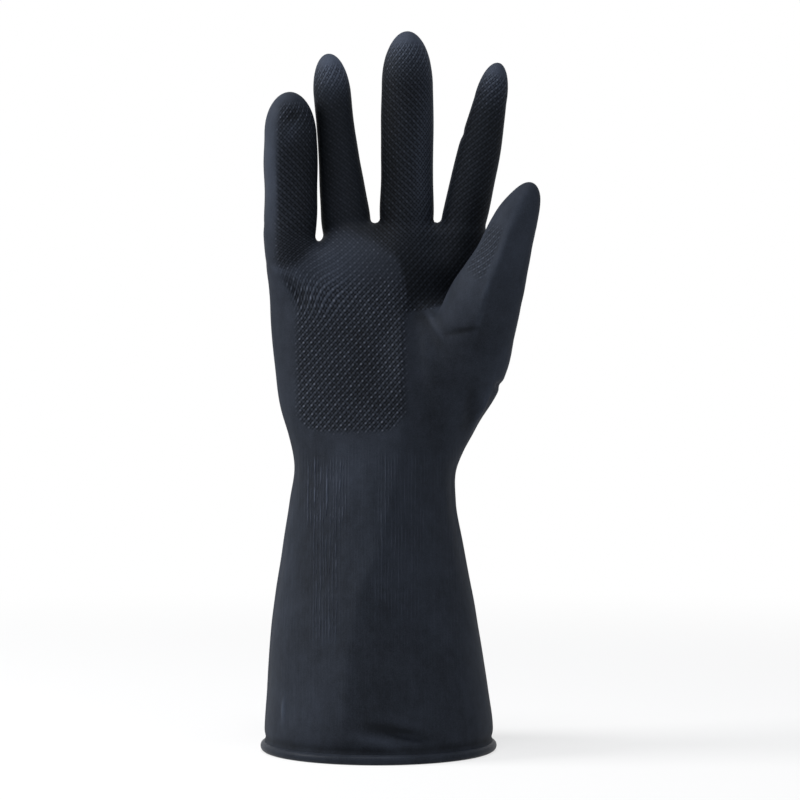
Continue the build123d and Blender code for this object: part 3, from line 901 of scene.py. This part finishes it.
def skinPiece(number, name, bodies, span, nodes):
    # The piece's faces, and the same ones a wall further in, turned the other way.
    mine = faces[faceOwner == number]
    used = np.unique(mine)
    outer = np.searchsorted(used, mine)
    co = points[used]
    direction = normals[used]
    inner = outer[:, ::-1] + len(used)
    bare = np.zeros(len(used))
    both = {
        "grip": np.concatenate([gripHere[used], bare]),
        "gripDark": np.concatenate([gripShadeHere[used], bare]),
        "gripPlace": np.tile(gripAt[used], (2, 1)),
        "skinPlace": np.tile(co, (2, 1)),
        "crimp": np.concatenate([crimpHere[used], bare]),
        "bloom": np.tile(bloomAndPaintedLightHere[used], 2),
    }
    piece = meshPiece(name, np.concatenate([co, co - wallThickness * direction]),
                      np.concatenate([outer, inner]), np.concatenate([direction, -direction]),
                      both, gloveRubber)
    if span is None:
        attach(piece, bodies[0])
    else:
        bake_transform(piece)
    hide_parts(*nodes)
    return piece


for number, row in enumerate(skinPieces):
    skinPiece(number, *row)
print("glove: skin pieces made")


# The rolled bead, a solid ring that the gauntlet's edge runs into: its radii and height, how round its
# outside is (1 is an ellipse), and the shares by which it swells three and seven times round
beadShape = {"inner": 55.7, "outer": 59.4, "foot": 57.5, "height": 4.6, "roundness": 0.85,
             "swell": (0.0012, 0.0008), "turns": 240}


def beadPiece():
    # A closed profile swept round Z: straight inside, flat underneath and round outside.
    inner, outer, foot, height = (beadShape[key] for key in ("inner", "outer", "foot", "height"))
    turn = np.linspace(-math.pi / 2, math.pi / 2, 15)
    roll = np.stack([foot - 0.5 + (outer - foot + 0.5) * np.cos(turn) ** beadShape["roundness"],
                     height / 2 + height / 2 * np.sin(turn)], 1)
    seat = np.array([[57.0, height + 0.1], [56.2, height + 0.2]])
    inside = np.array([[inner + 0.1, height], [inner, height - 0.5], [inner, height / 2], [inner, 0.5],
                       [inner + 0.15, 0.12], [inner + 0.5, 0.0]])
    profile = np.concatenate([roll, seat, inside])
    count, rows = beadShape["turns"], len(profile)
    angle = np.arange(count) * 2 * math.pi / count
    radius, level = profile.T
    threes, sevens = beadShape["swell"]
    swell = 1 + threes * np.sin(3 * angle + 1) + sevens * np.sin(7 * angle)
    grow = (radius[None] - inner) * (swell[:, None] - 1) * 14 + radius[None]
    co = np.stack([grow * np.cos(angle)[:, None], grow * np.sin(angle)[:, None],
                   np.repeat(level[None], count, 0)], -1).reshape(-1, 3)
    a, b = np.meshgrid(np.arange(count), np.arange(rows), indexing="ij")
    nextA, nextB = (a + 1) % count, (b + 1) % rows
    corners = [a * rows + b, nextA * rows + b, nextA * rows + nextB, a * rows + nextB]
    looks = {"skinPlace": co, "bloom": np.full(len(co), bloomLevelAndGrooveShade["bead"])}
    piece = meshPiece("rolled_bead", co, np.stack(corners, -1).reshape(-1, 4), None, looks, beadRubber)
    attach(piece, "gauntlet")
    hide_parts("cuff_bead")
    return piece


beadPiece()
print("glove: bead made")


studio = {
    "floor": "#f2f2f2",
    "floorSide": 16.0,
    "world": (0.05, 0.06, 0.075, 1.0),
    "shadowReach": (0.25, 1.1),
    "shadowShare": 0.3,
    # each lamp: place, aim, size in m, power in W and colour
    "lamps": {
        "keyLamp": ((-1.52, -0.2, 1.12), (0, 0, 0.2), 0.8, 34.0, (1.0, 0.99, 0.98)),
        "fillLamp": ((1.15, -1.38, 0.35), (0, 0, 0.2), 0.9, 5.0, (0.96, 0.98, 1.0)),
        "topLamp": ((-0.1, -0.5, 2.1), (0, 0, 0.25), 0.7, 24.0, (0.97, 0.98, 1.0)),
    },
    # the camera: place, and how wide it sees in mm at its distance
    "camera": (0.01083, -1.27, 0.1757),
    "seenWidth": 402.8,
}


def seenWhite(tree):
    # 1 for what the camera sees straight, in a reflection or through something clear, and 0 otherwise.
    rays = addNode(tree, "ShaderNodeLightPath", None, None).outputs
    first = addNode(tree, maths, larger, _0=rays["Is Camera Ray"], _1=rays["Is Glossy Ray"])
    return addNode(tree, maths, larger, _0=first, _1=rays["Is Transmission Ray"])


def skyWorld():
    # White where it is seen, and softer, cooler light on the glove itself.
    world = bpy.data.worlds.new("paleStudio")
    bpy.context.scene.world = world
    world.use_nodes = True
    tree = world.node_tree
    tree.nodes.clear()
    white = addNode(tree, "ShaderNodeBackground", Color=(1, 1, 1, 1), Strength=1.0)
    soft = addNode(tree, "ShaderNodeBackground", Color=studio["world"], Strength=1.0)
    mixed = addNode(tree, mixShader, _0=seenWhite(tree), _1=soft, _2=white)
    addNode(tree, "ShaderNodeOutputWorld", None, None, Surface=mixed)


def paleFloor():
    # A wide pale card under the glove: white where it is seen, but for a share of its shade near the glove.
    side = studio["floorSide"] / 2
    mesh = bpy.data.meshes.new("studioFloor")
    corners = [(-side, -side, 0), (side, -side, 0), (side, side, 0), (-side, side, 0)]
    mesh.from_pydata(corners, [], [(0, 1, 2, 3)])
    floor = bpy.data.objects.new("studioFloor", mesh)
    bpy.context.scene.collection.objects.link(floor)
    material, tree, shader = newMaterial("paleFloor", 0.9, 1.45)
    shader.inputs["Base Color"].default_value = hexColour(studio["floor"])
    white = addNode(tree, "ShaderNodeEmission", Color=(1, 1, 1, 1), Strength=1.0)
    place = addNode(tree, "ShaderNodeTexCoord", None, "Object")
    away = addNode(tree, "ShaderNodeVectorMath", {"operation": "LENGTH"}, "Value", _0=place)
    near, far = studio["shadowReach"]
    plain = addNode(tree, mapRange, {"interpolation_type": "SMOOTHSTEP"}, Value=away, From_Min=near,
                    From_Max=far, To_Min=1 - studio["shadowShare"], To_Max=1.0)
    share = addNode(tree, maths, times, _0=plain, _1=seenWhite(tree))
    mixed = addNode(tree, mixShader, _0=share, _1=shader.outputs[0], _2=white)
    tree.links.new(mixed, tree.nodes["Material Output"].inputs["Surface"])
    mesh.materials.append(material)


def softLamp(name, place, aim, size, power, colour):
    # A square area lamp that faces its aim.
    lamp = bpy.data.lights.new(name, "AREA")
    lamp.energy = power
    lamp.size = size
    lamp.color = colour
    holder = bpy.data.objects.new(name, lamp)
    holder.location = place
    holder.rotation_euler = (Vector(aim) - Vector(place)).to_track_quat("-Z", "Y").to_euler()
    bpy.context.scene.collection.objects.link(holder)


def palmCamera():
    # Level with the wrist and straight in front of the palm, 1.27 m away.
    camera = bpy.data.cameras.new("camera")
    camera.sensor_fit = "HORIZONTAL"
    camera.angle = 2 * math.atan(studio["seenWidth"] * mm / 2 / -studio["camera"][1])
    camera.clip_end = 30
    holder = bpy.data.objects.new("camera", camera)
    holder.location = studio["camera"]
    holder.rotation_euler = (math.radians(90), 0, 0)
    bpy.context.scene.collection.objects.link(holder)
    bpy.context.scene.camera = holder


skyWorld()
paleFloor()
for name, row in studio["lamps"].items():
    softLamp(name, *row)
palmCamera()
bpy.context.scene.view_settings.view_transform = "Standard"
print("studio: floor, lamps and camera")
